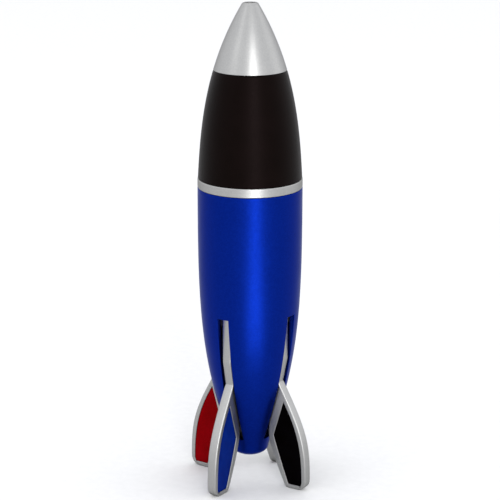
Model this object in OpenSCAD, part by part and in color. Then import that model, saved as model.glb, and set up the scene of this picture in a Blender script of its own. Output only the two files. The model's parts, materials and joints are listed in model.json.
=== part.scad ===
// Rocket-shaped four-colour ballpoint pen, standing on its fins, nose up.
// Origin on the floor under the tail, +Z up through the nose. Millimetres.
// Each fin slides up its slot in the barrel and pushes its own refill out of the nose.

/* [Body] */
// Length of the blue barrel, tail to trim ring
barrel_len = 80.8; // [78:0.1:98]
// Widest outside diameter
body_d = 29.92; // [27:0.02:36]
// Outside diameter where the tail starts to round off
tail_d = 10.9; // [9.6:0.1:12]
// Height of the rounded end of the tail
tail_round = 2.6; // [2:0.1:4]
// How suddenly the barrel starts to narrow
barrel_bend = 3.53; // [2.5:0.01:5]
// How straight the barrel runs towards the tail
barrel_run = 1.2; // [1:0.01:1.4]
// Wall of the barrel
barrel_wall = 1.6; // [1.2:0.05:1.8]
// Height of the tail above the fins' feet
tail_gap = 7.6; // [5:0.1:9]

/* [Front] */
// Height of the trim ring
ring_h = 2.6; // [1.5:0.1:4]
// Length of the rubber grip
grip_len = 30.9; // [26:0.1:40]
// Length of the nose cone
nose_len = 18.8; // [15:0.1:24]
// Outside diameter of the lip round the nose hole
lip_d = 4.3; // [4.2:0.05:6]
// How far the radius narrows evenly from trim ring to lip
front_taper = 2.53; // [1:0.05:4]
// How late the nose closes in
nose_fullness = 2.78; // [2.2:0.01:4]
// Thickness of the rubber
rubber_t = 1.3; // [0.8:0.1:1.6]
// Wall of the grip core
core_wall = 1.4; // [1:0.1:2]
// Wall of the nose cone
nose_wall = 1.35; // [1:0.05:1.6]
// Diameter of the nose hole
orifice_d = 3.1; // [3:0.05:3.4]
// Length over which the nose hole opens to the hollow nose
throat_len = 2; // [1.5:0.1:3]
// Length of the spigot that carries the nose cone
spigot_len = 4.2; // [3:0.1:6]

/* [Thread] */
// Wall of the grip core round the thread
thread_wall = 1.05; // [0.8:0.05:1.6]
// Depth of the thread
thread_depth = 0.4; // [0.2:0.05:0.5]
// Thread pitch
thread_pitch = 1; // [0.8:0.1:1.5]
// Length of thread inside the grip core
thread_len = 6; // [4.5:0.5:8]
// Wall of the coupling sleeve's spigot
sleeve_wall = 1; // [0.8:0.1:2]
// Depth of the sleeve's seat in the barrel
seat_depth = 12.4; // [8:0.1:13]
// Wall left round the seat
seat_wall = 1.4; // [1.2:0.05:1.5]
// Thickness of the spring plate
plate_t = 2.5; // [1.5:0.1:4]

/* [Fins] */
// Thickness of a fin
fin_t = 2.85; // [2.3:0.05:3.5]
// How far a foot reaches out past the barrel's widest radius
foot_reach = 5.21; // [3:0.05:8]
// Length of a foot, from its inside to its outside
foot_len = 6.55; // [5.5:0.05:8]
// Rounding of the foot's outer corner
foot_round = 3; // [1:0.1:3.2]
// Rounding of the foot's inner corner
toe_round = 1.6; // [0.5:0.1:1.8]
// Height at which a fin leaves the barrel
waist_z = 31.9; // [29:0.1:34]
// How far the fin's outer edge dips below the barrel's skin there
waist_dip = 0.65; // [0.3:0.05:1]
// Height of the fin's lower corner beside the tail
root_z = 14.6; // [14:0.1:15.5]
// Gap between that corner and the barrel's skin
root_gap = 0.65; // [0.5:0.05:0.9]
// Height of the straight edge that stands in the slot above that corner
heel_h = 7.4; // [6:0.1:9]
// Width of the tongue inside the barrel
tongue_w = 3.45; // [3:0.05:4]
// Clearance over the tongue under the barrel's wall
tongue_clear = 0.35; // [0.3:0.05:0.8]
// How far the tongue's upper end lies below the slot's
tongue_short = 0.4; // [0.3:0.1:1]
// Height of the tongue's straight outer edge above the waist
tongue_bend = 7; // [5:0.1:9]
// Silver border round the coloured inlay
border = 1.3; // [0.8:0.05:2]
// Border beside the barrel, at the inlay's upper end
border_top = 1.65; // [1:0.05:3]
// Border beside the barrel, at the inlay's lower corner
border_root = 1.8; // [1.3:0.05:2.5]
// How far the inlay's lower corner lies above the fin's
corner_rise = 0.8; // [0.4:0.1:1.5]
// Depth of the inlay's pocket
pocket_depth = 0.9; // [0.5:0.05:0.95]
// How far the inlay lies below the fin's face
inlay_recess = 0.15; // [0.05:0.01:0.3]

/* [Slides] */
// Travel of a fin along its slot
travel = 9; // [8:0.1:11]
// Clearance each side of a fin in its slot
slot_clear = 0.43; // [0.3:0.01:0.6]
// Height of the slot's lower end
slot_low = 13.7; // [13:0.1:14]
// Height of the slot's upper end
slot_high = 52.2; // [51:0.1:53]
// Diameter of a carriage's head
head_d = 6; // [5.4:0.1:6.4]
// Height of a carriage's head
head_h = 7.6; // [6:0.1:9]
// How far the head lies in from the tongue's outer edge
head_inset = 0.1; // [0:0.05:0.5]
// Radial width of a carriage's leg
leg_w = 2; // [1.5:0.1:2.5]
// Length of a carriage's leg
leg_len = 16; // [12:0.5:20]
// Thickness of the guide core's top flange
flange_t = 2.5; // [1.5:0.1:4]
// Gap between the guide core's post and a carriage's leg
post_gap = 0.6; // [0.3:0.05:1]
// Thickness of the guide core's ribs
rib_t = 1.6; // [1:0.1:3]
// Diameter of the pegs that hold a fin to its carriage
peg_d = 1.5; // [1:0.1:2]
// Length of those pegs
peg_len = 1.4; // [1:0.1:1.8]
// Distance between the two pegs
peg_pitch = 7; // [5:0.5:10]

/* [Refills] */
// Outside diameter of a refill tube
tube_d = 2.4; // [2:0.05:2.9]
// Wall of a refill tube
tube_wall = 0.4; // [0.25:0.05:0.5]
// How far a tip stands out of the nose when it is pushed forward
tip_out = 2; // [1:0.1:2.5]
// Clearance round a tip in the nose hole
nose_clear = 0.1; // [0.05:0.01:0.2]
// Slimness of a nib beside its neighbours, 1 would touch them
nib_share = 0.95; // [0.9:0.01:0.97]
// Diameter of the writing ball
ball_d = 0.7; // [0.5:0.1:0.8]
// Length of a nib's shank inside its tube
shank_len = 3; // [2:0.5:5]
// Part of the tube's length that is full of ink
ink_full = 0.9; // [0.1:0.05:0.95]
// Diameter of the return spring's wire
wire_d = 0.36; // [0.3:0.02:0.4]
// Clearance between a return spring and its refill
spring_clear = 0.33; // [0.3:0.01:0.4]
// Turns of a return spring
spring_turns = 11; // [8:1:13]

/* [Hidden] */
COLOURS = ["black", "green", "red", "blue"];  // counter-clockwise from +X
INK = ["#15151a", "#15803f", "#a31015", "#0b2f96"];
SHARED = ["barrel", "guide_core", "spring_plate", "coupling_sleeve", "trim_ring", "grip_core",
          "rubber_grip", "nose_cone"];
REPEATED = ["fin_frame", "fin_inlay", "carriage", "refill_tube", "ink", "nib", "ball", "spring"];

$fn = 64;
silver = "#c4c4c6";
blue = "#1226a8";
steps = 28;              // points along each long curve
eps = 0.01;
press_clear = 0.02;      // pressed or glued together
run_clear = 0.05;        // turns or slides
loose_clear = 0.3;       // passes without touching

// heights
ring_z = tail_gap + barrel_len;
grip_z = ring_z + ring_h;
nose_z = grip_z + grip_len;
tip_z = nose_z + nose_len;
front_len = tip_z - ring_z;
seat_z = ring_z - seat_depth;
plate_top = seat_z + plate_t;
thread_top = grip_z + thread_len;
head_z = slot_high + 0.1;
head_top = head_z + head_h;
tongue_top = slot_high - tongue_short;
floor_z = tail_gap + tail_round;
spigot_top = nose_z + spigot_len;

// outside of the barrel and of the front, as radius at a height
body_r = body_d / 2;
tail_r = tail_d / 2;
function barrel_skin(z) =
    let (v = min(1, (ring_z - z) / (barrel_len - tail_round)))
    tail_r + (body_r - tail_r) * pow(1 - pow(v, barrel_bend), barrel_run);
function front_skin(z) =
    let (u = (z - ring_z) / front_len)
    body_r - front_taper * u - (body_r - lip_d / 2 - front_taper) * pow(u, nose_fullness);

// radii
seat_r = body_r - seat_wall;
thread_r = front_skin(thread_top) - rubber_t - thread_wall - run_clear;
sleeve_in = thread_r - thread_depth - sleeve_wall;
slot_w = fin_t + 2 * slot_clear;
foot_out = body_r + foot_reach;
foot_in = foot_out - foot_len;
waist_r = barrel_skin(waist_z) - waist_dip;
root_r = barrel_skin(root_z) + root_gap;
tongue_out = barrel_skin(slot_high) - barrel_wall - tongue_clear;
tongue_in = tongue_out - tongue_w;
carriage_r = tongue_out - head_inset - head_d / 2;
leg_in = tongue_in - leg_w;
post_r = leg_in - post_gap;
tube_r = tube_d / 2;
tube_bore = tube_d - 2 * tube_wall;

// A refill leans in from its carriage to its tip. All four tips share the nose hole, each in its
// own quarter, so a nib is never wider than its distance from the axis allows.
tip_rest = tip_z + tip_out - travel;
hold_z = (head_z + head_top) / 2;
drop = tip_rest - hold_z;
nib_slope = nib_share / sqrt(2);
tip_reach = (orifice_d / 2 - nose_clear) / (1 + nib_slope);
tip_r = (tip_reach - tip_out * carriage_r / drop) / (1 - tip_out / drop);
lean = (carriage_r - tip_r) / drop;
lean_angle = atan(lean);
refill_len = drop / cos(lean_angle);
nib_len = (tube_r / nib_slope - tip_r) / lean + 0.25;
function refill_r(z) = tip_r + (tip_rest - z) * lean;
function nib_r(s) = nib_slope * (tip_r + s * lean);
spring_r = tube_r + travel * lean / 2 + spring_clear + wire_d / 2;

function spread(a, b, n = steps) = [for (i = [0:n]) a + (b - a) * i / n];
function barrel_line(z0, z1, inset) = [for (z = spread(z0, z1)) [barrel_skin(z) - inset, z]];
function front_line(z0, z1, inset) = [for (z = spread(z0, z1)) [front_skin(z) - inset, z]];

// cubic curve from a to b that leans on the corner point q
function lean_curve(a, q, b, pull, n = 14) = [for (t = spread(0, 1, n))
    let (p = a + (q - a) * pull, r = b + (q - b) * pull)
    a * pow(1 - t, 3) + 3 * p * pow(1 - t, 2) * t + 3 * r * (1 - t) * t * t + b * pow(t, 3)];
// corner rounded with radius rad, from direction angle a0 to a1
function round_corner(centre, rad, a0, a1) =
    [for (a = spread(a0, a1, 5)) centre + rad * [cos(a), sin(a)]];

module lathe(points) {
    rotate_extrude() polygon(points);
}

// places its child at colour i's fin, whose radius points along +X before turning
module at_fin(i) {
    rotate(i * 90) children();
}

// stands a flat outline of (radius, height) points up in the fin's plane
module upright(t, z_shift = 0) {
    translate([0, t / 2, z_shift]) rotate([90, 0, 0]) linear_extrude(t) children();
}

module along_refill() {
    translate([tip_r, 0, tip_rest]) rotate([0, -lean_angle, 0]) children();
}

// ---- barrel
module barrel() {
    tail_curve = [for (a = spread(0, 90, 10))
        [tail_r * sin(a), tail_gap + tail_round * (1 - cos(a))]];
    outside = concat(tail_curve, barrel_line(floor_z, ring_z, 0));
    inside = concat([[0, ring_z + eps], [seat_r, ring_z + eps], [seat_r, seat_z]],
        [for (z = spread(seat_z, floor_z)) [barrel_skin(z) - barrel_wall, z]], [[0, floor_z]]);
    color(blue) difference() {
        lathe(concat(outside, [[0, ring_z]]));
        lathe(inside);
        for (i = [0:3]) at_fin(i) translate([0, -slot_w / 2, slot_low])
            cube([body_r, slot_w, slot_high - slot_low]);
    }
}

// ---- guide core: post, ribs between the slides, and the flange the carriages rest on
module guide_core() {
    foot_r = barrel_skin(floor_z) - barrel_wall - run_clear;
    post_z = slot_low + 2;
    color("#26262a") difference() {
        union() {
            translate([0, 0, floor_z]) cylinder(h = slot_high - floor_z, r = foot_r);
            intersection() {
                lathe(concat([[0, post_z]], barrel_line(post_z, slot_high, barrel_wall + run_clear),
                    [[0, slot_high]]));
                union() {
                    translate([0, 0, post_z]) cylinder(h = slot_high - post_z, r = post_r);
                    translate([-body_r, -body_r, slot_high - flange_t])
                        cube([body_d, body_d, flange_t]);
                    for (a = [45, 135]) rotate(a) translate([-body_r, -rib_t / 2, post_z])
                        cube([body_d, rib_t, slot_high - post_z]);
                }
            }
        }
        for (i = [0:3]) at_fin(i) translate([leg_in - loose_clear, -fin_t / 2 - run_clear, post_z])
            cube([body_r, fin_t + 2 * run_clear, slot_high]);
    }
}

// ---- spring plate with a slot for each leaning refill
module spring_plate() {
    hole_r = tube_r + loose_clear;
    near = refill_r(plate_top);
    far = refill_r(seat_z - travel);
    color("#26262a") difference() {
        translate([0, 0, seat_z]) cylinder(h = plate_t, r = seat_r - press_clear);
        for (i = [0:3]) at_fin(i) translate([0, 0, seat_z - eps]) {
            for (x = [near, far]) translate([x, 0, 0]) cylinder(h = plate_t + 2 * eps, r = hole_r);
            translate([near, -hole_r, 0]) cube([far - near, 2 * hole_r, plate_t + 2 * eps]);
        }
    }
}

// ---- coupling sleeve with the ridges of its thread
module coupling_sleeve() {
    root = thread_r - thread_depth;
    ridges = floor((thread_len - 1) / thread_pitch);
    color("#2a2a2c") difference() {
        union() {
            translate([0, 0, plate_top]) cylinder(h = ring_z - plate_top, r = seat_r - press_clear);
            translate([0, 0, plate_top]) cylinder(h = thread_top - 0.5 - plate_top, r = root);
            translate([0, 0, ring_z]) cylinder(h = ring_h - run_clear, r = thread_r);
            for (k = [0:ridges - 1]) translate([0, 0, grip_z + k * thread_pitch])
                rotate_extrude() polygon([[root - eps, 0], [thread_r, thread_pitch * 0.4],
                    [thread_r, thread_pitch * 0.6], [root - eps, thread_pitch]]);
        }
        translate([0, 0, plate_top - eps]) cylinder(h = thread_top, r = sleeve_in);
    }
}

// ---- trim ring
module trim_ring() {
    color(silver) difference() {
        translate([0, 0, ring_z]) cylinder(h = ring_h, r = body_r);
        translate([0, 0, ring_z - eps]) cylinder(h = ring_h + 2 * eps, r = thread_r + run_clear);
    }
}

// ---- grip core: bored for the thread below, with a spigot for the nose cone above
module grip_core() {
    spigot_r = front_skin(spigot_top) - nose_wall - press_clear;
    inner = rubber_t + core_wall;
    color("#2a2a2c") lathe(concat(
        [[thread_r + run_clear, grip_z]], front_line(grip_z, nose_z, rubber_t),
        [[spigot_r, nose_z], [spigot_r, spigot_top], [spigot_r - 1, spigot_top],
         [spigot_r - 1, nose_z - 2]],
        front_line(nose_z - 4, thread_top, inner),
        [[thread_r + run_clear, thread_top]]));
}

// ---- rubber grip
module rubber_grip() {
    color("#231e1c") lathe(concat(front_line(grip_z, nose_z, 0), front_line(nose_z, grip_z, rubber_t)));
}

// ---- nose cone
module nose_cone() {
    spigot_r = front_skin(spigot_top) - nose_wall;
    throat_z = tip_z - throat_len;
    lip_round = 0.3;
    color(silver) lathe(concat(
        front_line(nose_z, tip_z - lip_round, 0),
        [[lip_d / 2 - lip_round, tip_z], [orifice_d / 2, tip_z]],
        front_line(throat_z, spigot_top, nose_wall),
        [[spigot_r, nose_z]]));
}

// ---- fins
// The outer edge runs down the tongue, dips at the waist where the fin leaves the barrel, and sweeps
// out to the foot; the inner edge climbs from the foot to the corner beside the tail.
module fin_outline() {
    foot_corner = [foot_out - foot_round, foot_round];
    toe_corner = [foot_in + toe_round / 2, toe_round];
    heel_z = root_z + heel_h;
    polygon(concat(
        [[tongue_in, tongue_top], [tongue_out, tongue_top], [tongue_out, waist_z + tongue_bend]],
        lean_curve([waist_r, waist_z], [foot_out, waist_z * 0.5], [foot_out, foot_round], 0.87, 20),
        round_corner(foot_corner, foot_round, 0, -90),
        round_corner(toe_corner, toe_round, -90, -152),
        lean_curve([foot_in - toe_round * 0.41, toe_round * 0.58],
            [root_r + (foot_in - root_r) * 0.31, root_z * 0.55], [root_r, root_z], 0.67, 8),
        [[root_r, heel_z], [tongue_in, heel_z + 4]]));
}

module inlay_outline() {
    outer = foot_out - border;
    top = [waist_r + border_top, waist_z - 5.7];
    toe = [foot_in + 0.6, border + 0.2];
    corner = [root_r + border_root, root_z + corner_rise];
    polygon(concat(
        lean_curve(top, [outer, waist_z * 0.49], [outer, border + 1], 0.75, 16),
        [[outer - 0.4, border], [foot_in + 0.8, border]],
        lean_curve(toe, [corner.x + (toe.x - corner.x) * 0.35, corner.y * 0.63], corner, 0.67, 8)));
}

module pegs(len, d, inside = 0) {
    for (z = [tongue_top - 3, tongue_top - 3 - peg_pitch])
        translate([tongue_in - len, 0, z]) rotate([0, 90, 0]) cylinder(h = len + inside, d = d);
}

module fin_frame(i) {
    cut = pocket_depth + eps;
    color(silver) at_fin(i) {
        difference() {
            upright(fin_t) fin_outline();
            for (side = [-1, 1]) translate([0, side * (fin_t - cut + 2 * eps) / 2, 0])
                upright(cut) inlay_outline();
        }
        pegs(peg_len, peg_d, inside = 0.5);
    }
}

module fin_inlay(i) {
    t = pocket_depth - inlay_recess - eps;
    color(INK[i]) at_fin(i) for (side = [-1, 1])
        translate([0, side * (fin_t / 2 - inlay_recess - t / 2), 0]) upright(t) inlay_outline();
}

// ---- carriage: head over the slot, leg beside the fin's tongue
module carriage(i) {
    leg_low = head_z - leg_len;
    color("#26262a") at_fin(i) difference() {
        union() {
            translate([carriage_r, 0, head_z]) cylinder(h = head_h, d = head_d);
            translate([leg_in, -fin_t / 2, leg_low]) cube([leg_w, fin_t, leg_len + 1]);
        }
        along_refill() translate([0, 0, -refill_len])
            cylinder(h = refill_len, r = tube_r + press_clear);
        pegs(peg_len + 0.1, peg_d + 2 * press_clear, inside = 1);
    }
}

// ---- refills, drawn from the tip down along their own leaning axis
module refill_tube(i) {
    color("#e8ecf0") at_fin(i) along_refill() translate([0, 0, -refill_len])
        difference() {
            cylinder(h = refill_len - nib_len, r = tube_r);
            translate([0, 0, -eps]) cylinder(h = refill_len, d = tube_bore);
        }
}

module ink(i) {
    top = nib_len + shank_len;
    h = (refill_len - top) * ink_full;
    color(INK[i]) at_fin(i) along_refill() translate([0, 0, -top - h])
        cylinder(h = h, d = tube_bore);
}

module nib(i) {
    collar = 1;
    cone_len = nib_len - collar - ball_d / 4;
    color("#c9b37a") at_fin(i) along_refill() difference() {
        union() {
            translate([0, 0, -nib_len]) cylinder(h = collar, r = tube_r * 0.97);
            translate([0, 0, collar - nib_len])
                cylinder(h = cone_len, r1 = nib_r(nib_len - collar), r2 = ball_d * 0.6);
            translate([0, 0, -nib_len - shank_len]) cylinder(h = shank_len + eps, d = tube_bore);
        }
        translate([0, 0, -ball_d / 2]) sphere(d = ball_d);
    }
}

module ball(i) {
    color("#8a8c90") at_fin(i) along_refill() translate([0, 0, -ball_d / 2]) sphere(d = ball_d);
}

// ---- return spring: a coil that leans with the refill's middle position
module spring(i) {
    sides = 5;
    per_turn = 12;
    low = head_top + wire_d / 2 + press_clear;
    high = seat_z - wire_d / 2 - press_clear;
    low_r = carriage_r - 0.1;
    high_r = refill_r(seat_z - travel / 2);
    n = spring_turns * per_turn;
    wire = wire_d / 2;
    function centre(k) = let (f = k / n, a = 360 * k / per_turn)
        [low_r + (high_r - low_r) * f + spring_r * cos(a), spring_r * sin(a), low + (high - low) * f];
    points = [for (k = [0:n]) let (a = 360 * k / per_turn) for (j = [0:sides - 1])
        let (b = 360 * j / sides) centre(k) + wire * [cos(b) * cos(a), cos(b) * sin(a), sin(b)]];
    walls = [for (k = [0:n - 1], j = [0:sides - 1]) let (m = (j + 1) % sides)
        [k * sides + j, (k + 1) * sides + j, (k + 1) * sides + m, k * sides + m]];
    ends = [[for (j = [0:sides - 1]) j], [for (j = [sides - 1:-1:0]) n * sides + j]];
    color("#a8a8ac") at_fin(i) polyhedron(points, concat(walls, ends));
}

barrel();
guide_core();
spring_plate();
coupling_sleeve();
trim_ring();
grip_core();
rubber_grip();
nose_cone();
for (i = [0:3]) {
    fin_frame(i);
    fin_inlay(i);
    carriage(i);
    refill_tube(i);
    ink(i);
    nib(i);
    ball(i);
    spring(i);
}
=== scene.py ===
import json
import math

import bmesh
import bpy
import numpy as np
from mathutils import Matrix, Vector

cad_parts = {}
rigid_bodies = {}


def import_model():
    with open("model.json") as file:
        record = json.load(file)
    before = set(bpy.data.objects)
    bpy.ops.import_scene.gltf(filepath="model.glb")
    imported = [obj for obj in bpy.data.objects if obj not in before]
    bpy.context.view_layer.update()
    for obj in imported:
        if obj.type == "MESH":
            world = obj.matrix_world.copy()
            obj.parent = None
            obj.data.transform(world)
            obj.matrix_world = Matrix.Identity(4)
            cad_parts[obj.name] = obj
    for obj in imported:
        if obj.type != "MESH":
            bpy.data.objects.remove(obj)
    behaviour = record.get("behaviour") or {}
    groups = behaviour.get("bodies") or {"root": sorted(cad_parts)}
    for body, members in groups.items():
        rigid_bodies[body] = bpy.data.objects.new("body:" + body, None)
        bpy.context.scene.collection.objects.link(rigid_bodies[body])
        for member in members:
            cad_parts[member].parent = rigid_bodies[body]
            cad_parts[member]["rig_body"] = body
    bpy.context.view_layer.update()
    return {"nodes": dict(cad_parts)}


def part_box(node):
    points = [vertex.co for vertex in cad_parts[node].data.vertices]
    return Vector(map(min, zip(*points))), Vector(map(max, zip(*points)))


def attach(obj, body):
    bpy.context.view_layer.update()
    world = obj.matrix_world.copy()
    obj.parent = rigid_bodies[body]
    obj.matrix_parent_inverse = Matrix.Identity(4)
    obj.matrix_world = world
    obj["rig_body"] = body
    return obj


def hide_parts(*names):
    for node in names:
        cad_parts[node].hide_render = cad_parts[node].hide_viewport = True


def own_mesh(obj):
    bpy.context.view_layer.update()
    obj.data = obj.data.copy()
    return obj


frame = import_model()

mm = 0.001               # lengths below are in millimetres until a mesh is made
colours = ["black", "green", "red", "blue"]   # fins and refills, a quarter turn apart from +X


def linear(hexColour):
    # an sRGB channel c is c / 12.92 up to 0.04045, and ((c + 0.055) / 1.055) ^ 2.4 above it
    c = np.array([int(hexColour[k:k + 2], 16) / 255 for k in (1, 3, 5)])
    return (*np.where(c <= 0.04045, c / 12.92, ((c + 0.055) / 1.055) ** 2.4).tolist(), 1.0)


def addNode(tree, kind, settings, links=()):
    # one node: settings are its properties or open sockets, links are (socket, output of another node)
    node = tree.nodes.new(kind)
    for key, value in settings.items():
        if isinstance(key, str) and hasattr(node, key):
            setattr(node, key, value)
        else:
            node.inputs[key].default_value = value
    for key, source in links:
        tree.links.new(source, node.inputs[key])
    return node


def newMaterial(name, sockets, look, factor=None):
    # a Principled material. What is the same all over is set on the shader's own sockets, and look lays
    # the rest: noise of patch mm drifts the colour from deep to bright, noise of gloss mm drifts the
    # roughness, and noise of grain mm gives a relief that is depth mm high. factor, if given, takes the
    # place of patch's noise
    material = bpy.data.materials.new(name)
    material.use_nodes = True
    tree = material.node_tree
    shader = tree.nodes["Principled BSDF"]
    for key, value in sockets.items():
        shader.inputs[key].default_value = value
    place = addNode(tree, "ShaderNodeTexCoord", {})
    noise = [addNode(tree, "ShaderNodeTexNoise", {"Scale": 1 / (look[key] * mm), "Detail": 3.0},
                     [("Vector", place.outputs["Object"])]) for key in ("patch", "gloss", "grain")]
    # a noise keeps near its middle, so its span from 0.3 to 0.7 is what gets stretched
    drift, shine = [addNode(tree, "ShaderNodeMapRange",
                            {"From Min": 0.3, "From Max": 0.7, "To Min": low, "To Max": high},
                            [("Value", source.outputs["Fac"])])
                    for source, (low, high) in zip(noise, ((0, 1), look["roughness"]))]
    colour = addNode(tree, "ShaderNodeMix",
                     {"data_type": "RGBA", 6: linear(look["deep"]), 7: linear(look["bright"])},
                     [(0, factor(tree, place) if factor else drift.outputs["Result"])])
    relief = addNode(tree, "ShaderNodeBump", {"Strength": look["strength"], "Distance": look["depth"] * mm},
                     [("Height", noise[2].outputs["Fac"])])
    for key, source in (("Base Color", colour.outputs[2]), ("Roughness", shine.outputs["Result"]),
                        ("Normal", relief.outputs["Normal"])):
        tree.links.new(source, shader.inputs[key])
    return material


lacquer = {"deep": "#041B71", "bright": "#06207B", "roughness": (0.35, 0.41), "flake": 0.3, "patch": 6.0,
           "gloss": 6.0, "grain": 1.6, "strength": 0.25, "depth": 0.012, "edge": linear("#CED2E2")}


def flakes(tree, place):
    # one random grey for each cell, a cell being a flake
    cells = addNode(tree, "ShaderNodeTexVoronoi", {"Scale": 1 / (lacquer["flake"] * mm)},
                    [("Vector", place.outputs["Object"])])
    return addNode(tree, "ShaderNodeSeparateColor", {}, [(0, cells.outputs["Color"])]).outputs[0]


def blueLacquer():
    # metallic lacquer sprayed on moulded ABS: a deep satin blue whose flakes give a soft, broad sheen.
    # Real flakes are about 0.05 mm; they are drawn at 0.3 mm, because finer ones would not show
    sockets = {"Metallic": 1.0, "Specular Tint": lacquer["edge"]}
    return newMaterial("metallic_blue_lacquer", sockets, lacquer, flakes)


silver = {"deep": "#9B9B9A", "bright": "#A5A5A3", "roughness": (0.33, 0.4), "patch": 0.35, "gloss": 4.0,
          "grain": 1.2, "strength": 0.2, "depth": 0.01, "edge": linear("#BEBEBE")}


def satinSilver():
    # silver lacquer over moulded ABS, satin: broad soft highlights with a very fine grain.
    # The pigment is finer than 0.05 mm and is drawn at 0.35 mm so that it shows
    return newMaterial("satin_silver_lacquer", {"Metallic": 1.0, "Specular Tint": silver["edge"]}, silver)


rubber = {"deep": "#040201", "bright": "#060302", "roughness": (0.38, 0.46), "patch": 5.0, "gloss": 0.45,
          "grain": 0.45, "strength": 0.5, "depth": 0.03, "edge": linear("#F4D2D6")}


def softRubber():
    # thermoplastic rubber moulded in a spark-eroded tool: brownish black, dull, faintly grained.
    # Its grain is about 0.1 mm and is drawn at 0.45 mm so that it shows
    sockets = {"Specular IOR Level": 0.048, "Specular Tint": rubber["edge"]}
    return newMaterial("soft_grip_rubber", sockets, rubber)


plastic = {"patch": 3.0, "gloss": 2.2, "grain": 1.0, "strength": 0.2, "depth": 0.008}


def mouldedPlastic(name, tones, roughness, specular):
    # injection-moulded ABS or acetal: even colour with slight flow marks and an eased shine
    look = {**plastic, "deep": tones[0], "bright": tones[1], "roughness": roughness}
    return newMaterial(name, {"Specular IOR Level": specular, "IOR": 1.49}, look)


metal = {"strength": 0.2, "depth": 0.006}


def bareMetal(name, tones, roughness, marks):
    # drawn or turned metal: bright, with fine tool marks about marks mm apart
    look = {**metal, "deep": tones[0], "bright": tones[1], "roughness": roughness,
            "patch": marks, "gloss": marks, "grain": marks}
    return newMaterial(name, {"Metallic": 1.0}, look)


tube = {"deep": "#DDE3E8", "bright": "#EEF1F3", "roughness": (0.22, 0.32), "patch": 2.0, "gloss": 1.5,
        "grain": 1.5, "strength": 0.1, "depth": 0.004}


def clearTube():
    # extruded polypropylene: milky and see-through, so the ink shows in it
    return newMaterial("polypropylene_tube", {"Transmission Weight": 0.75, "IOR": 1.49}, tube)


inlayTones = {"black": ("#010000", "#020102"), "green": ("#02400C", "#045012"),
              "red": ("#6C0003", "#7B0006"), "blue": ("#03175A", "#041D66")}
inkTones = {"black": ("#0B0B0D", "#131316"), "green": ("#0E6B30", "#138040"),
            "red": ("#A30F15", "#B81A1F"), "blue": ("#0B2F96", "#123BB0")}

finish = {
    "blue_metallic_barrel": blueLacquer(),
    "satin_silver": satinSilver(),
    "grip_rubber": softRubber(),
    "black_plastic": mouldedPlastic("black_abs", ("#101012", "#1A1A1C"), (0.38, 0.5), 0.35),
    "refill_tube": clearTube(),
    "nib_metal": bareMetal("turned_brass", ("#B89C5C", "#CDB577"), (0.22, 0.34), 0.3),
    "ball_steel": bareMetal("ground_steel", ("#8C8F94", "#A2A5A9"), (0.12, 0.2), 0.2),
    "spring_steel": bareMetal("drawn_spring_steel", ("#9A9CA1", "#B3B5BA"), (0.22, 0.32), 0.25),
}
for colour in colours:
    finish["inlay_" + colour] = mouldedPlastic("abs_inlay_" + colour, inlayTones[colour],
                                               (0.34, 0.42), 0.01)
    finish["ink_" + colour] = mouldedPlastic("ink_" + colour, inkTones[colour], (0.2, 0.3), 0.5)
print("materials:", len(finish))


def gridQuads(rows, columns, closeRows=False, closeColumns=False):
    # quad (i, j) joins points (i, j), (i, j + 1), (i + 1, j + 1), (i + 1, j); a closed side wraps round
    i, j = np.meshgrid(np.arange(rows if closeRows else rows - 1),
                       np.arange(columns if closeColumns else columns - 1), indexing="ij")
    i2, j2 = (i + 1) % rows, (j + 1) % columns
    corners = [i * columns + j, i * columns + j2, i2 * columns + j2, i2 * columns + j]
    return np.stack(corners, -1).reshape(-1, 4)


def turned(points, degrees):
    # about Z: (x cos a - y sin a, x sin a + y cos a, z)
    a = math.radians(degrees)
    turn = np.array([[math.cos(a), -math.sin(a), 0], [math.sin(a), math.cos(a), 0], [0, 0, 1]])
    return points @ turn.T


def addPiece(name, parts, slotName, nodes, sharpAngle=35):
    # stacks the parts, each (points in mm, quads), into one mesh, merges doubled points, turns every
    # face outwards, and puts the piece on the body of the CAD nodes it stands for
    starts = np.cumsum([0] + [len(points) for points, quads in parts])
    points = np.concatenate([points for points, quads in parts]) * mm
    quads = np.concatenate([quads + start for (_, quads), start in zip(parts, starts)]).astype(np.int32)
    mesh = bpy.data.meshes.new(name)
    mesh.vertices.add(len(points))
    mesh.vertices.foreach_set("co", points.astype(np.float32).ravel())
    mesh.loops.add(quads.size)
    mesh.loops.foreach_set("vertex_index", quads.ravel())
    mesh.polygons.add(len(quads))
    mesh.polygons.foreach_set("loop_start", np.arange(0, quads.size, 4, dtype=np.int32))
    mesh.update(calc_edges=True)
    work = bmesh.new()
    work.from_mesh(mesh)
    bmesh.ops.remove_doubles(work, verts=work.verts, dist=1e-6)
    bmesh.ops.dissolve_degenerate(work, edges=work.edges, dist=1e-7)
    bmesh.ops.recalc_face_normals(work, faces=work.faces)
    work.to_mesh(mesh)
    work.free()
    mesh.polygons.foreach_set("use_smooth", np.ones(len(mesh.polygons), bool))
    mesh.set_sharp_from_angle(angle=math.radians(sharpAngle))
    mesh.materials.append(finish[slotName])
    piece = bpy.data.objects.new(name, mesh)
    bpy.context.scene.collection.objects.link(piece)
    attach(piece, frame["nodes"][nodes[0]]["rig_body"])
    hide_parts(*nodes)
    return piece


def spaced(line, count):
    # count points evenly along a polyline, by its length
    along = np.concatenate([[0], np.cumsum(np.linalg.norm(np.diff(line, axis=0), axis=1))])
    at = np.linspace(0, along[-1], count)
    return np.stack([np.interp(at, along, line[:, k]) for k in range(line.shape[1])], -1)


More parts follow.
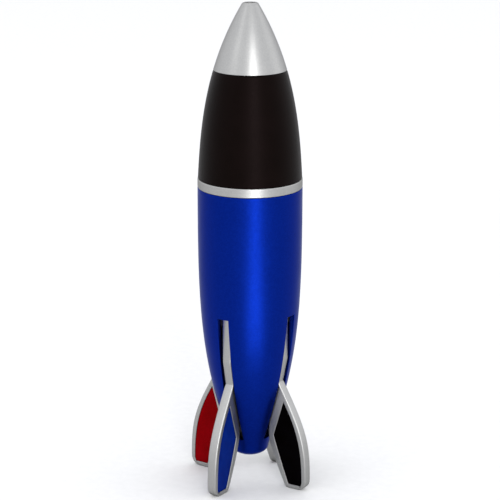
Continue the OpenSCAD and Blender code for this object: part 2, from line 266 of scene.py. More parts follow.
def softCorners(corners, radii, steps=5):
    # corner c of a closed outline becomes (1-s)^2 a + 2 s (1-s) c + s^2 b, with a and b its radius away
    # along the two sides; a radius of 0 leaves the corner as it is
    corners, radii = np.array(corners, float), np.array(radii, float)[:, None]
    before, after = np.roll(corners, 1, 0) - corners, np.roll(corners, -1, 0) - corners
    a = corners + radii * before / np.linalg.norm(before, axis=1, keepdims=True)
    b = corners + radii * after / np.linalg.norm(after, axis=1, keepdims=True)
    s = np.linspace(0, 1, steps)[None, :, None]
    line = (1 - s) ** 2 * a[:, None] + 2 * s * (1 - s) * corners[:, None] + s ** 2 * b[:, None]
    line = line.reshape(-1, 2)
    keep = np.linalg.norm(line - np.roll(line, 1, 0), axis=1) > 1e-4   # drops doubled points
    return line[keep]


def lathe(outline, segments=144, closed=True):
    # (r cos a, r sin a, z) for each point (r, z) of the outline
    a = np.linspace(0, 2 * math.pi, segments, endpoint=False)
    r, z = outline[:, :1], outline[:, 1:]
    points = np.stack([r * np.cos(a), r * np.sin(a), z + 0 * a], -1).reshape(-1, 3)
    return points, gridQuads(len(outline), segments, closed, True)


lowBarrel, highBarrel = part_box("barrel")
lowNose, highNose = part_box("nose_cone")
tailZ, ringZ = lowBarrel.z / mm, highBarrel.z / mm
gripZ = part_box("trim_ring")[1].z / mm
noseZ, tipZ = lowNose.z / mm, highNose.z / mm
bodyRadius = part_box("trim_ring")[1].x / mm

skin = {"tailRadius": 5.45, "tailRound": 2.6, "bend": 3.53, "run": 1.2,       # barrel
        "frontTaper": 2.53, "lipRadius": 2.15, "fullness": 2.78}             # grip and nose
floorZ = tailZ + skin["tailRound"]


def barrelSkin(z):
    # tail + (body - tail) (1 - v^bend)^run, with v running from 0 at the trim ring to 1 at the tail
    v = np.clip((ringZ - z) / (ringZ - floorZ), 0, 1)
    return skin["tailRadius"] + (bodyRadius - skin["tailRadius"]) * (1 - v ** skin["bend"]) ** skin["run"]


def frontSkin(z):
    # body - taper u - (body - lip - taper) u^fullness, u running from 0 at the trim ring to 1 at the tip
    u = np.clip((z - ringZ) / (tipZ - ringZ), 0, 1)
    rest = bodyRadius - skin["lipRadius"] - skin["frontTaper"]
    return bodyRadius - skin["frontTaper"] * u - rest * u ** skin["fullness"]


def skinLine(surface, z0, z1, inset, count):
    # (surface(z) - inset, z) from z0 to z1
    z = np.linspace(z0, z1, count)
    return np.stack([surface(z) - inset, z], -1)


barrel = {"wall": 1.6, "seatWall": 1.4, "seatDepth": 12.4, "plate": 2.5, "slotWidth": 3.71,
          "slotLow": 13.7, "slotHigh": 52.2, "rimRound": 0.25, "mouthEase": 0.2, "edge": 0.16,
          "leastRadius": 4.7,   # nearer the axis than this a slot's columns spread no further
          "slotRows": 44, "panelColumns": 30, "slotColumns": 6}
seatRadius, seatZ = bodyRadius - barrel["seatWall"], ringZ - barrel["seatDepth"]


def barrelGrid():
    # rows follow the wall from the tail's outside, over the rim, to the inside of the tail. At each row
    # the columns are spread so that a slot's sides stay at +-width / 2: its edge is at asin(width / 2r)
    b, ease = barrel, barrel["mouthEase"]
    a = np.linspace(0, math.pi / 2, 12)[:-1]
    tail = np.stack([skin["tailRadius"] * np.sin(a), tailZ + skin["tailRound"] * (1 - np.cos(a))], -1)
    slotRows = b["slotRows"]
    outerSlot = skinLine(barrelSkin, b["slotLow"], b["slotHigh"], 0, slotRows)
    innerSlot = skinLine(barrelSkin, b["slotHigh"], b["slotLow"], b["wall"], slotRows)
    rim = b["rimRound"]
    c = np.linspace(0, math.pi / 2, 5)
    rimArc = np.stack([bodyRadius - rim + rim * np.cos(c), ringZ - rim + rim * np.sin(c)], -1)
    below = [tail, skinLine(barrelSkin, floorZ, b["slotLow"], 0, 12)[:-1]]
    above = [skinLine(barrelSkin, b["slotHigh"], ringZ - rim, 0, 40)[1:-1], rimArc,
             [[seatRadius + ease, ringZ], [seatRadius, ringZ - ease]],
             skinLine(lambda z: seatRadius + 0 * z, ringZ - 0.5, seatZ, 0, 8),
             skinLine(barrelSkin, seatZ, b["slotHigh"], b["wall"], 20)[:-1]]
    end = [skinLine(barrelSkin, b["slotLow"], floorZ, b["wall"], 10)[1:], [[0, floorZ]]]
    line = np.concatenate([*below, outerSlot, *above, innerSlot, *end])
    outer0 = sum(len(x) for x in below)
    inner0 = outer0 + slotRows + sum(len(x) for x in above)

    panel, slot = b["panelColumns"], b["slotColumns"]
    half = np.arcsin(b["slotWidth"] / 2 / np.maximum(line[:, 0], b["leastRadius"]))[:, None]
    u, v = np.arange(panel) / panel, np.arange(slot) / slot
    quarter = np.concatenate([half * (2 * v - 1), half + u * (math.pi / 2 - 2 * half)], 1)
    angle = np.concatenate([quarter + k * math.pi / 2 for k in range(4)], 1)
    columns = angle.shape[1]
    points = np.stack([line[:, :1] * np.cos(angle), line[:, :1] * np.sin(angle),
                       line[:, 1:] + 0 * angle], -1)

    quads = gridQuads(len(line), columns, False, True).reshape(len(line) - 1, columns, 4)
    row, column = np.arange(len(line) - 1)[:, None], np.arange(columns)[None, :] % (panel + slot)
    inRows = (((row >= outer0) & (row < outer0 + slotRows - 1)) |
              ((row >= inner0) & (row < inner0 + slotRows - 1)))
    quads = quads[~(inRows & (column < slot))]
    # slot walls join the outer rows to the inner rows of the same height
    starts = np.arange(4) * (panel + slot)
    edges = np.concatenate([starts, starts + slot])
    out = (outer0 + np.arange(slotRows))[None, :] * columns + edges[:, None]
    inn = (inner0 + np.arange(slotRows)[::-1])[None, :] * columns + edges[:, None]
    sides = np.stack([out[:, :-1], out[:, 1:], inn[:, 1:], inn[:, :-1]], -1).reshape(-1, 4)
    cross = starts[:, None] + np.arange(slot + 1)[None, :]
    ends = []
    for k in (0, slotRows - 1):
        o, n = (outer0 + k) * columns + cross, (inner0 + slotRows - 1 - k) * columns + cross
        ends.append(np.stack([o[:, :-1], o[:, 1:], n[:, 1:], n[:, :-1]], -1).reshape(-1, 4))
    return points.reshape(-1, 3), np.concatenate([quads, sides, *ends])


def easeEdges(piece, width, segments=2):
    # a small bevel on the sharp edges, as a mould leaves them
    bevel = piece.modifiers.new("eased_edges", "BEVEL")
    bevel.width, bevel.segments = width * mm, segments
    bevel.limit_method, bevel.angle_limit = "ANGLE", math.radians(50)
    bevel.harden_normals = True
    return piece


barrelPiece = easeEdges(addPiece("barrel_shell", [barrelGrid()], "blue_metallic_barrel", ["barrel"]),
                        barrel["edge"])
print("barrel:", len(barrelPiece.data.polygons), "faces")


thread = {"length": 6.0, "pitch": 1.0, "depth": 0.4, "wall": 1.0, "core": 1.05, "clear": 0.05,
          "flank": 0.4, "runOut": 0.8, "ease": 0.2, "lead": 0.3, "short": 0.5}
threadTop = gripZ + thread["length"]
grip = {"rubber": 1.3, "core": 1.4, "lowRound": 0.35, "topRound": 0.6,
        "spigot": 4.2, "spigotWall": 1.0, "spigotDepth": 2.0, "shoulder": 4.0, "spigotRound": 0.25}
nose = {"wall": 1.35, "hole": 1.55, "holeLength": 0.9, "throat": 2.0, "lipRound": 0.5, "holeRound": 0.18,
        "baseRound": 0.14}
slip = 0.02   # pressed pieces are drawn this much apart so that their faces don't flicker
threadRadius = frontSkin(threadTop) - grip["rubber"] - thread["core"] - thread["clear"]
spigotTop = noseZ + grip["spigot"]
spigotRadius = frontSkin(spigotTop) - nose["wall"]

ring = {"round": 0.32}
bore = threadRadius + thread["clear"]
ringLine = softCorners([[bodyRadius, ringZ], [bodyRadius, gripZ], [bore, gripZ], [bore, ringZ]],
                       [ring["round"], ring["round"], 0.1, 0.1], 7)
addPiece("trim_ring_turned", [lathe(ringLine)], "satin_silver", ["trim_ring"])


def rubberLine():
    # outside (frontSkin(z), z) up, inside (frontSkin(z) - rubber, z) down, with rounded ends
    outer = skinLine(frontSkin, gripZ, noseZ, 0, 50)
    inner = skinLine(frontSkin, noseZ, gripZ, grip["rubber"], 20)
    radii = np.zeros(len(outer) + len(inner))
    radii[[0, len(outer) - 1]] = grip["lowRound"], grip["topRound"]
    return softCorners(np.concatenate([outer, inner]), radii, 7)


addPiece("grip_sleeve", [lathe(rubberLine())], "grip_rubber", ["rubber_grip"])


def coreLine():
    # core under the rubber, (frontSkin(z) - rubber, z): threaded bore below, spigot for the nose above
    g, r = grip, spigotRadius - slip
    outer = skinLine(frontSkin, gripZ, noseZ, g["rubber"], 30)
    inner = skinLine(frontSkin, noseZ - g["shoulder"], threadTop, g["rubber"] + g["core"], 20)
    spigot = [[r, noseZ], [r, spigotTop], [r - g["spigotWall"], spigotTop],
              [r - g["spigotWall"], noseZ - g["spigotDepth"]]]
    line = np.concatenate([[[bore, gripZ]], outer, spigot, inner, [[bore, threadTop]]])
    radii = np.zeros(len(line))
    radii[len(outer) + 2:len(outer) + 4] = g["spigotRound"]
    return softCorners(line, radii)


addPiece("grip_core_moulded", [lathe(coreLine(), 96)], "black_plastic", ["grip_core"])


def noseLine():
    # outside (frontSkin(z), z) up to the rolled lip, then down the hole and (frontSkin(z) - wall, z) inside
    n = nose
    outer = skinLine(frontSkin, noseZ, tipZ - n["lipRound"] - 0.1, 0, 60)
    throatZ = tipZ - n["throat"]
    inner = skinLine(frontSkin, throatZ, spigotTop, n["wall"], 24)
    lip = [[skin["lipRadius"], tipZ], [n["hole"], tipZ], [n["hole"], tipZ - n["holeLength"]]]
    line = np.concatenate([outer, lip, inner, [[spigotRadius, noseZ]]])
    radii = np.zeros(len(line))
    radii[[0, len(outer), len(outer) + 1]] = n["baseRound"], n["lipRound"], n["holeRound"]
    return softCorners(line, radii, 7)


addPiece("nose_cone_shell", [lathe(noseLine())], "satin_silver", ["nose_cone"])


def sleevePart():
    # turned profile whose upper part carries a helical ridge: its radius is
    # root + depth * ridge(frac((z - start) / pitch - a / 2 pi)), and the ridge rises over flank of a pitch,
    # stays flat and falls over flank again, and fades over runOut mm at each end
    root = threadRadius - thread["depth"]
    topZ, plateTop = threadTop - thread["short"], seatZ + barrel["plate"]
    seat, boreRadius = seatRadius - slip, root - thread["wall"]
    ease, lead = thread["ease"], thread["lead"]
    rows = np.linspace(gripZ, topZ - lead, 70)
    flange = [[boreRadius, plateTop], [seat - lead, plateTop], [seat, plateTop + lead],
              [seat, ringZ - ease], [seat - ease, ringZ]]
    collar = [[threadRadius, ringZ], [threadRadius, gripZ - 0.25], [threadRadius - ease, gripZ - 0.05]]
    mouth = [[root - lead, topZ], [boreRadius + 0.15, topZ], [boreRadius, topZ - ease]]
    line = np.concatenate([flange, collar, np.stack([root + 0 * rows, rows], -1), mouth])
    points, quads = lathe(line, 160)
    a = np.arctan2(points[:, 1], points[:, 0])
    z = points[:, 2]
    u = np.mod((z - gripZ) / thread["pitch"] - a / (2 * math.pi), 1)
    ridge = np.clip((0.5 - np.abs(u - 0.5)) / thread["flank"], 0, 1)
    fade = (np.clip((z - gripZ) / thread["runOut"], 0, 1) *
            np.clip((topZ - lead - 0.05 - z) / thread["runOut"], 0, 1))
    onThread = (z >= gripZ) & (np.hypot(points[:, 0], points[:, 1]) > root - 0.01)
    grow = 1 + onThread * thread["depth"] * ridge * fade / root
    points[:, :2] *= grow[:, None]
    return points, quads


addPiece("threaded_sleeve", [sleevePart()], "black_plastic", ["coupling_sleeve"], 50)
print("front: ring, grip, core, nose and threaded sleeve")


fin = {"thickness": 2.85, "footReach": 5.21, "footLength": 6.55, "footRound": 3.0, "toeRound": 1.6,
       "waistZ": 31.9, "waistDip": 0.65, "rootZ": 14.6, "rootGap": 0.65, "heel": 7.4, "tongueWidth": 3.45,
       "tongueClear": 0.35, "tongueShort": 0.4, "tongueBend": 7.0, "border": 1.3, "borderTop": 1.65,
       "borderRoot": 1.8, "cornerRise": 0.8, "pocket": 0.9, "rimRound": 0.42, "lip": 0.1,
       "pegRadius": 0.75, "pegLength": 1.4, "pegPitch": 7.0, "pegDrop": 3.0}
# where the handles of a fin's long curves lie, as shares of the way, and how far the curves reach to them
bend = {"outer": 0.5, "outerPull": 0.87, "inner": (0.31, 0.55), "innerPull": 0.67,
        "pocketOuter": 0.49, "pocketOuterPull": 0.75, "pocketInner": (0.35, 0.63),
        "toeStart": (0.41, 0.58), "toeTurn": -152}
inlay = {"recess": 0.15, "gap": 0.05, "round": 0.12, "tipDrop": 0.6, "tipLow": 5.7, "toe": (0.6, 0.2),
         "foot": (0.4, 0.8)}

footOut = bodyRadius + fin["footReach"]
footIn = footOut - fin["footLength"]
tongueTop = barrel["slotHigh"] - fin["tongueShort"]
tongueOut = barrelSkin(barrel["slotHigh"]) - barrel["wall"] - fin["tongueClear"]
tongueIn = tongueOut - fin["tongueWidth"]
waist = np.array([barrelSkin(fin["waistZ"]) - fin["waistDip"], fin["waistZ"]])
root = np.array([barrelSkin(fin["rootZ"]) + fin["rootGap"], fin["rootZ"]])
inlayTip = waist + [fin["borderTop"], -inlay["tipLow"]]
inlayToe = np.array([footIn + inlay["toe"][0], fin["border"] + inlay["toe"][1]])
inlayCorner = root + [fin["borderRoot"], fin["cornerRise"]]
chainZ = fin["border"] + 1    # below this height the outlines turn round the foot


def leanCurve(a, q, b, pull, count=24):
    # cubic from a to b whose handles reach pull of the way to q
    t = np.linspace(0, 1, count)[:, None]
    a, q, b = np.array(a), np.array(q), np.array(b)
    return (1 - t) ** 3 * a + 3 * (1 - t) ** 2 * t * (a + (q - a) * pull) + \
        3 * (1 - t) * t ** 2 * (b + (q - b) * pull) + t ** 3 * b


def arc(centre, radius, first, last, count=8):
    # centre + radius (cos a, sin a), with a from first to last in degrees
    a = np.radians(np.linspace(first, last, count))[:, None]
    return np.array(centre) + radius * np.concatenate([np.cos(a), np.sin(a)], 1)


def finSides():
    # the fin's two long sides and the pocket's, each from the top down, as (radius, height): straight
    # edges of the tongue, then leanCurve to the foot, then an arc round its corner
    f, r, t = fin, fin["footRound"], fin["toeRound"]
    outerSide = np.concatenate([
        [[tongueOut, tongueTop], [tongueOut, f["waistZ"] + f["tongueBend"]]],
        leanCurve(waist, [footOut, f["waistZ"] * bend["outer"]], [footOut, r], bend["outerPull"], 40),
        arc([footOut - r, r], r, 0, -90, 14)[1:]])
    toe = [footIn - t * bend["toeStart"][0], t * bend["toeStart"][1]]
    across, up = bend["inner"]
    handle = [root[0] + (footIn - root[0]) * across, root[1] * up]
    innerSide = np.concatenate([
        [[tongueIn, tongueTop], [tongueIn, root[1] + f["heel"] + 4], [root[0], root[1] + f["heel"]]],
        leanCurve(toe, handle, root, bend["innerPull"])[::-1],
        arc([footIn + t / 2, t], t, bend["toeTurn"], -90)[1:]])
    outer = footOut - f["border"]
    pocketOuter = np.concatenate([
        leanCurve(inlayTip, [outer, f["waistZ"] * bend["pocketOuter"]], [outer, chainZ],
                  bend["pocketOuterPull"], 40),
        [[outer - inlay["foot"][0], f["border"]]]])
    across, up = bend["pocketInner"]
    handle = [inlayCorner[0] + (inlayToe[0] - inlayCorner[0]) * across, inlayCorner[1] * up]
    pocketInner = np.concatenate([
        [inlayTip], leanCurve(inlayToe, handle, inlayCorner, bend["innerPull"])[::-1],
        [[footIn + inlay["foot"][1], f["border"]]]])
    return outerSide, innerSide, pocketOuter, pocketInner


outerSide, innerSide, pocketOuter, pocketInner = finSides()
cornerCount, bottomCount, topCount = 9, 8, 6   # points round a foot's corner, under it, and on the top


def sideAt(side, z):
    # radius of a side at height z
    return np.interp(z, side[::-1, 1], side[::-1, 0])


def rowsBetween(high, low, count, extra):
    # falling heights, with the corners' own heights among them
    extra = [z for z in extra if low < z < high]
    return np.unique(np.concatenate([np.linspace(low, high, count), extra]))[::-1]


def panelSides(inset, drop):
    # the pocket's outline moved in by inset, with its tip lowered by drop: the outer side's points, the
    # inner side's at the same heights, and the chain that joins their lower ends round the foot. Each
    # side moves by inset * sqrt(1 + slope^2), which keeps the width square to it
    z = rowsBetween(inlayTip[1] - drop, chainZ, 44, [inlayCorner[1], root[1]])
    outer, inner = sideAt(pocketOuter, z), sideAt(pocketInner, z)
    outer = outer - inset * np.hypot(1, np.gradient(outer, z))
    inner = inner + inset * np.hypot(1, np.gradient(inner, z))
    b = fin["border"]
    outerFoot = np.array([pocketOuter[-1, 0] - inset * 0.6, b + inset])
    innerFoot = np.array([footIn + inlay["foot"][1] + inset * 0.8, b + inset])
    chain = np.concatenate([
        spaced(np.array([[outer[-1], chainZ], outerFoot]), cornerCount)[1:],
        spaced(np.array([outerFoot, innerFoot]), bottomCount)[1:],
        spaced(np.array([innerFoot, inlayToe + [inset * 0.9, inset * 0.5], [inner[-1], chainZ]]),
               cornerCount)[1:-1]])
    return np.stack([outer, z], -1), np.stack([inner, z], -1), chain


def finLoops():
    # two loops with the same count: the fin's outline, and inside it the pocket's outline. Above the
    # pocket's tip the inner loop runs up and down one line in the middle of the tongue, where inPocket is 0
    up = rowsBetween(tongueTop, inlayTip[1], 30, [fin["waistZ"], fin["waistZ"] + fin["tongueBend"]])
    outer, inner, chain = panelSides(0, 0)
    down = outer[:, 1]
    z = np.concatenate([up, down])
    footTurn = outerSide[outerSide[:, 1] < chainZ]
    toeTurn = innerSide[innerSide[:, 1] < chainZ]
    outerLow = np.concatenate([[[sideAt(outerSide, chainZ), chainZ]], footTurn])
    innerLow = np.concatenate([[[sideAt(innerSide, chainZ), chainZ]], toeTurn])[::-1]
    top = spaced(np.array([[tongueIn, tongueTop], [tongueOut, tongueTop]]), topCount)[1:-1]
    outline = np.concatenate([
        np.stack([sideAt(outerSide, z), z], -1),
        spaced(outerLow, cornerCount)[1:],
        spaced(np.array([outerLow[-1], innerLow[0]]), bottomCount)[1:],
        spaced(innerLow, cornerCount)[1:-1],
        np.stack([sideAt(innerSide, z), z], -1)[::-1], top])
    middle = (sideAt(outerSide, up) + sideAt(innerSide, up)) / 2
    easing = np.clip((fin["waistZ"] - up) / (fin["waistZ"] - inlayTip[1]), 0, 1)
    atWaist = (waist[0] + tongueIn) / 2
    middle = np.where(up < fin["waistZ"], atWaist + (inlayTip[0] - atWaist) * easing, middle)
    seam = np.stack([middle, np.minimum(up, tongueTop - 1.3)], -1)
    seam[-1] = inlayTip
    inside = np.concatenate([seam, outer, chain, inner[::-1], seam[::-1], np.repeat(seam[:1], len(top), 0)])
    inPocket = np.concatenate([np.zeros(len(up)), np.ones(len(outer) + len(chain) + len(inner)),
                               np.zeros(len(up) + len(top))])
    return outline, inside, inPocket


def inwardNormals(loop):
    # normals of a closed loop that runs clockwise: the steps before and after each point are added and
    # turned a quarter, and the normal is lengthened at corners so that an inset keeps its width
    step = np.roll(loop, -1, 0) - loop
    size = np.linalg.norm(step, axis=1, keepdims=True)
    unit = np.where(size > 1e-6, step / np.maximum(size, 1e-6), 0)
    total = unit + np.roll(unit, 1, 0)
    count = (size > 1e-6).astype(float) + (np.roll(size, 1, 0) > 1e-6)
    length = np.linalg.norm(total, axis=1, keepdims=True)
    direction = total / np.maximum(length, 1e-6)
    reach = 1 / np.maximum(length / np.maximum(count, 1), 0.7)
    return np.stack([direction[:, 1], -direction[:, 0]], -1) * reach


def standUp(flat, y):
    # (radius, height) points and their sideways place y become (radius, y, height)
    return np.stack([flat[..., 0], np.broadcast_to(y, flat.shape[:-1]), flat[..., 1]], -1)


def ladder(outer, inner, chain, y):
    # surface between two sides of equal heights: rows run straight across, and the last row is the chain
    u = np.linspace(0, 1, len(chain) + 2)[None, :, None]
    rows = outer[:, None] * (1 - u) + inner[:, None] * u
    last = np.concatenate([outer[-1:], chain, inner[-1:]])[None]
    flat = np.concatenate([rows, last])
    return standUp(flat, y).reshape(-1, 3), gridQuads(flat.shape[0], flat.shape[1])


def frameParts():
    # the rounded rim is a quarter circle carried along the outline: inset rim (1 - cos p), sideways
    # half - rim + rim sin p. The face runs from it to the pocket's lip, and the wall goes down to the pocket
    outline, inside, inPocket = finLoops()
    normal, lipNormal = inwardNormals(outline), inwardNormals(inside)
    half, rim, lip = fin["thickness"] / 2, fin["rimRound"], fin["lip"]
    p = np.linspace(0, math.pi / 2, 6)
    loops = [(outline + normal * rim * (1 - math.cos(x)), half - rim + rim * math.sin(x)) for x in p]
    loops.append((outline + normal * (rim + 0.05), half))
    m = inPocket[:, None]
    loops.append((inside - lipNormal * m * (lip + 0.05), half))
    q = np.linspace(0, math.pi / 2, 4)
    loops += [(inside - lipNormal * m * lip * (1 - math.sin(x)), half - inPocket * lip * (1 - math.cos(x)))
              for x in q]
    loops.append((inside, half - inPocket * fin["pocket"]))
    side = np.stack([standUp(flat, y) for flat, y in loops])
    # from one pocket's wall round the rim to the other's
    both = np.concatenate([side[::-1] * [1, -1, 1], side])
    walls = both.reshape(-1, 3), gridQuads(len(both), len(outline), False, True)
    outer, inner, chain = panelSides(0, 0)
    floors = [ladder(outer, inner, chain, s * (half - fin["pocket"])) for s in (-1, 1)]
    return [walls, *floors, *pegParts()]


def pegParts():
    # two pegs that reach from the tongue into the carriage: (tongueIn - length, r cos a, r sin a + z)
    r, length = fin["pegRadius"], fin["pegLength"]
    outline = softCorners([[0.001, -0.2], [r, -0.2], [r, length], [0.001, length]], [0, 0, 0.15, 0])
    points, quads = lathe(outline, 32)
    parts = []
    for k in range(2):
        z = tongueTop - fin["pegDrop"] - k * fin["pegPitch"]
        parts.append((np.stack([tongueIn - points[:, 2], points[:, 0], points[:, 1] + z], -1), quads))
    return parts


def inlayParts():
    # a plate in each pocket, with a rounded edge: inset grows by round (1 - cos p) as y rises by
    # round sin p
    half = fin["thickness"] / 2
    high, low = half - inlay["recess"], half - fin["pocket"] + 0.01
    p = np.linspace(0, math.pi / 2, 4)
    r = inlay["round"]
    steps = [(0, low)] + [(r * (1 - math.cos(x)), high - r * (1 - math.sin(x))) for x in p]
    steps.append((r + 0.05, high))
    parts = []
    for s in (-1, 1):
        loops = []
        for inset, y in steps:
            outer, inner, chain = panelSides(inlay["gap"] + inset, inlay["tipDrop"])
            loops.append(standUp(np.concatenate([outer, chain, inner[::-1]]), s * y))
        loops = np.stack(loops)
        parts.append((loops.reshape(-1, 3), gridQuads(len(loops), loops.shape[1], False, True)))
        for inset, y in (steps[0], steps[-1]):
            parts.append(ladder(*panelSides(inlay["gap"] + inset, inlay["tipDrop"]), s * y))
    return parts


frameMesh, inlayMesh = frameParts(), inlayParts()
for k, colour in enumerate(colours):
    addPiece("fin_rim_" + colour, [(turned(p, 90 * k), q) for p, q in frameMesh], "satin_silver",
             ["fin_frame_" + colour])
    addPiece("fin_panel_" + colour, [(turned(p, 90 * k), q) for p, q in inlayMesh], "inlay_" + colour,
             ["fin_inlay_" + colour])
print("fins: 4 rims and 4 pairs of panels")


refill = {"tube": 1.2, "bore": 0.8, "tipOut": 2.0, "travel": 9.0, "hole": 1.55, "clear": 0.1, "share": 0.95,
          "ball": 0.35, "shank": 3.0, "full": 0.9, "headZ": 52.3, "headHeight": 7.6, "headRadius": 3.0,
          "headInset": 0.1}
nib = {"collar": 0.9, "collarEase": 0.15, "bodyStart": 1.2, "slimLow": (0.5, 2.6), "slimHigh": (0.42, 2.3),
       "slimEnd": (0.41, 0.9), "crimp": (0.33, 0.22), "lip": (0.28, 0.24), "socket": 0.5, "rootLength": 0.25}
coil = {"wire": 0.18, "clear": 0.33, "turns": 11, "perTurn": 28, "sides": 10, "flat": 2.1, "rest": 0.02,
        "shift": 0.1}

carriageRadius = tongueOut - refill["headInset"] - refill["headRadius"]
tipRest = tipZ + refill["tipOut"] - refill["travel"]
headTop = refill["headZ"] + refill["headHeight"]
drop = tipRest - (refill["headZ"] + headTop) / 2
nibSlope = refill["share"] / math.sqrt(2)
tipReach = (refill["hole"] - refill["clear"]) / (1 + nibSlope)
tipRadius = (tipReach - refill["tipOut"] * carriageRadius / drop) / (1 - refill["tipOut"] / drop)
lean = (carriageRadius - tipRadius) / drop
refillLength = drop / math.cos(math.atan(lean))
nibLength = (refill["tube"] / nibSlope - tipRadius) / lean + nib["rootLength"]


def alongRefill(part, k):
    # leans a part drawn along z below 0 by atan(lean), so that its lower end is further from the axis
    points, quads = part
    a = math.atan(lean)
    x = points[:, 0] * math.cos(a) - points[:, 2] * math.sin(a) + tipRadius
    z = points[:, 0] * math.sin(a) + points[:, 2] * math.cos(a) + tipRest
    return turned(np.stack([x, points[:, 1], z], -1), 90 * k), quads


def nibOutline():
    # shank in the tube, collar, tapered body, slim end and the crimped lip that holds the ball. The four
    # nibs leave each other a radius of nibSlope * (tipRadius + s * lean) at s mm behind the tip
    n, tubeRadius, shankRadius = nibLength, refill["tube"], refill["bore"] - slip
    start = nib["bodyStart"]
    bodyRoom = min(nibSlope * (tipRadius + (n - start) * lean), tubeRadius)
    shank = [[0.001, -n - refill["shank"]], [shankRadius, -n - refill["shank"]], [shankRadius, -n]]
    collar = [[tubeRadius * 0.96, -n], [tubeRadius * 0.96, nib["collar"] - n],
              [tubeRadius * 0.8, nib["collar"] + nib["collarEase"] - n]]
    slim = [[radius, -behind] for radius, behind in (nib[key] for key in (
        "slimLow", "slimHigh", "slimEnd", "crimp", "lip"))]
    return softCorners(
        [*shank, *collar, [bodyRoom * 0.93, start - n], *slim, [0.001, -nib["socket"]]],
        [0, 0.1, 0, 0.1, 0.08, 0.04, 0.08, 0.1, 0.1, 0.1, 0.02, 0.02, 0])


def ballOutline():
    # half circle that touches z = 0 from below: (r sin a, -r (1 + cos a))
    a = np.linspace(0, math.pi, 17)
    return np.stack([refill["ball"] * np.sin(a), -refill["ball"] * (1 + np.cos(a))], -1)


def springPart(k):
    # tube of radius wire round c(t) = (x + R cos t, R sin t, z), x leaning with the refill; the first and
    # last turns lie flat, one wire's thickness high
    turns, n = coil["turns"], coil["turns"] * coil["perTurn"]
    low, high = headTop + coil["wire"] + coil["rest"], seatZ - coil["wire"] - coil["rest"]
    radius = refill["tube"] + refill["travel"] * lean / 2 + coil["clear"] + coil["wire"]
    lowX = carriageRadius - coil["shift"]
    highX = tipRadius + (tipRest - seatZ + refill["travel"] / 2) * lean
    turn = np.linspace(0, turns, n + 1)
    z = np.interp(turn, [0, 1, turns - 1, turns],
                  [low, low + coil["flat"] * coil["wire"], high - coil["flat"] * coil["wire"], high])
    x = lowX + (highX - lowX) * (z - low) / (high - low)
    t = (2 * math.pi * turn)[:, None]
    s = np.linspace(0, 2 * math.pi, coil["sides"], endpoint=False)[None, :]
    taper = np.clip(np.minimum(np.arange(n + 1), n - np.arange(n + 1)) / 2, 0.02, 1)[:, None]
    reach = radius + coil["wire"] * taper * np.cos(s)
    points = np.stack([x[:, None] + reach * np.cos(t), reach * np.sin(t),
                       z[:, None] + coil["wire"] * taper * np.sin(s)], -1)
    quads = gridQuads(n + 1, coil["sides"], False, True)
    ends = []
    for end in (0, n):
        cap = np.stack([points[end], np.repeat(points[end].mean(0, keepdims=True), coil["sides"], 0)])
        ends.append((turned(cap.reshape(-1, 3), 90 * k), gridQuads(2, coil["sides"], False, True)))
    return [(turned(points.reshape(-1, 3), 90 * k), quads), *ends]


tubeLine = softCorners([[refill["bore"], -refillLength], [refill["tube"], -refillLength],
                        [refill["tube"], -nibLength], [refill["bore"], -nibLength]], [0.08] * 4)
inkTop = nibLength + refill["shank"]
inkLow = inkTop + (refillLength - inkTop) * refill["full"]
inkRadius = refill["bore"] - slip
inkLine = softCorners([[0.001, -inkLow + 0.25], [inkRadius, -inkLow], [inkRadius, -inkTop], [0.001, -inkTop]],
                      [0, 0.05, 0.05, 0])
for k, colour in enumerate(colours):
    addPiece("refill_barrel_" + colour, [alongRefill(lathe(tubeLine, 40), k)], "refill_tube",
             ["refill_tube_" + colour])
    addPiece("ink_column_" + colour, [alongRefill(lathe(inkLine, 32), k)], "ink_" + colour,
             ["ink_" + colour])
    addPiece("nib_turned_" + colour, [alongRefill(lathe(nibOutline(), 48), k)], "nib_metal",
             ["nib_" + colour])
    addPiece("writing_ball_" + colour, [alongRefill(lathe(ballOutline(), 32, False), k)], "ball_steel",
             ["ball_" + colour])
    spring = addPiece("return_spring_" + colour, springPart(k), "spring_steel", ["spring_" + colour], 60)
    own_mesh(spring)
print("refills and springs: 4 of each")


kept = ["guide_core", "spring_plate", *("carriage_" + colour for colour in colours)]
for name in kept:
    node = frame["nodes"][name]
    node.data.materials.clear()
    node.data.materials.append(finish["black_plastic"])
print("kept CAD pieces:", len(kept))


studio = {"floorHalf": 2.5, "sky": 1.4, "skyColour": "#FAFBFF", "aim": 0.07}
# each light: degrees round from the camera, distance, height, (width, length) in metres, power in watts
lights = {"front_light": (11, 0.8, 0.27, (0.2, 0.6), 3.0),
          "low_light": (11, 0.345, 0.002, (0.07, 0.52), 0.5),
          "left_light": (-58, 0.8, 0.6, (0.25, 0.6), 0.35),
          "right_light": (100, 1.0, 0.4, (0.6, 0.8), 0.5),
          "top_light": (180, 0.5, 1.3, (1.2, 1.2), 2.0)}
paper = {"deep": "#D6D6D5", "bright": "#DADAD9", "roughness": (0.85, 0.95), "patch": 2.5, "gloss": 2.5,
         "grain": 1.5, "strength": 0.05, "depth": 0.02}


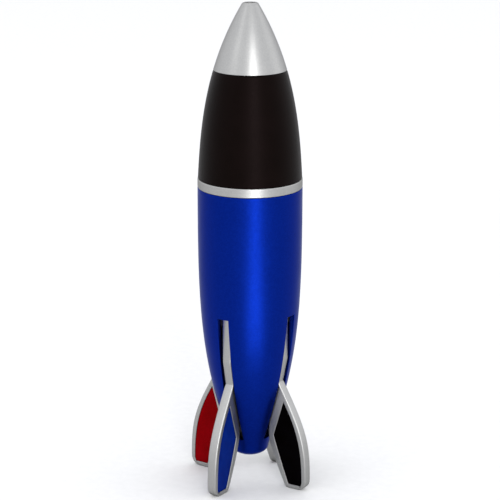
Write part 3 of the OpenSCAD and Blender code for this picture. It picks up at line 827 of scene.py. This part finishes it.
def studioFloor():
    # a flat square of seamless white paper
    half = studio["floorHalf"]
    x, y = np.meshgrid([-half, half], [-half, half])
    mesh = bpy.data.meshes.new("studio_floor")
    mesh.from_pydata(np.stack([x.ravel(), y.ravel(), 0 * x.ravel()], -1).tolist(), [], [[0, 1, 3, 2]])
    # matt paper, nearly white, with a barely visible fibre
    mesh.materials.append(newMaterial("matt_white_paper", {"Specular IOR Level": 0.1}, paper))
    floor = bpy.data.objects.new("studio_floor", mesh)
    bpy.context.scene.collection.objects.link(floor)


view = {"turn": 33.4, "distance": 0.5148, "height": 0.2105, "pitch": 15.31, "roll": -0.05,
        "focal": 1859.7, "frame": 500, "sensor": 36}   # focal length in units of which the frame has 500


def addCamera():
    # stands at (d sin t, -d cos t, h), turned by t about Z, pitched down, and rolled a little
    data = bpy.data.cameras.new("camera")
    camera = bpy.data.objects.new("camera", data)
    bpy.context.scene.collection.objects.link(camera)
    t = math.radians(view["turn"])
    camera.location = (view["distance"] * math.sin(t), -view["distance"] * math.cos(t), view["height"])
    turn = Matrix.Rotation(t, 3, "Z") @ Matrix.Rotation(math.radians(90 - view["pitch"]), 3, "X") @ \
        Matrix.Rotation(-math.radians(view["roll"]), 3, "Z")
    camera.rotation_euler = turn.to_euler()
    data.sensor_width = view["sensor"]
    data.lens = view["focal"] / view["frame"] * data.sensor_width
    data.clip_start, data.clip_end = 0.01, 20
    bpy.context.scene.camera = camera


def softBox(name, turn, distance, height, size, power, flat=False):
    # rectangular light at (d sin t, -d cos t, h) that faces the pen's axis at height aim, or lies facing up
    data = bpy.data.lights.new(name, "AREA")
    data.shape, data.size, data.size_y, data.energy = "RECTANGLE", size[0], size[1], power
    light = bpy.data.objects.new(name, data)
    bpy.context.scene.collection.objects.link(light)
    t = math.radians(view["turn"] + turn)
    light.location = (distance * math.sin(t), -distance * math.cos(t), height)
    tilt = math.radians(180) if flat else math.radians(90) - math.atan2(height - studio["aim"], distance)
    light.rotation_euler = (tilt, 0, t)
    light.visible_camera = False


def addSky():
    # even pale light from all round
    world = bpy.data.worlds.new("studio_sky")
    world.use_nodes = True
    background = world.node_tree.nodes["Background"]
    background.inputs["Color"].default_value = linear(studio["skyColour"])
    background.inputs["Strength"].default_value = studio["sky"]
    bpy.context.scene.world = world


studioFloor()
addCamera()
addSky()
for name, values in lights.items():
    softBox(name, *values, flat=name == "low_light")   # the low light lies on the floor
bpy.context.scene.view_settings.view_transform = "Standard"
print("studio: floor, camera and lights")
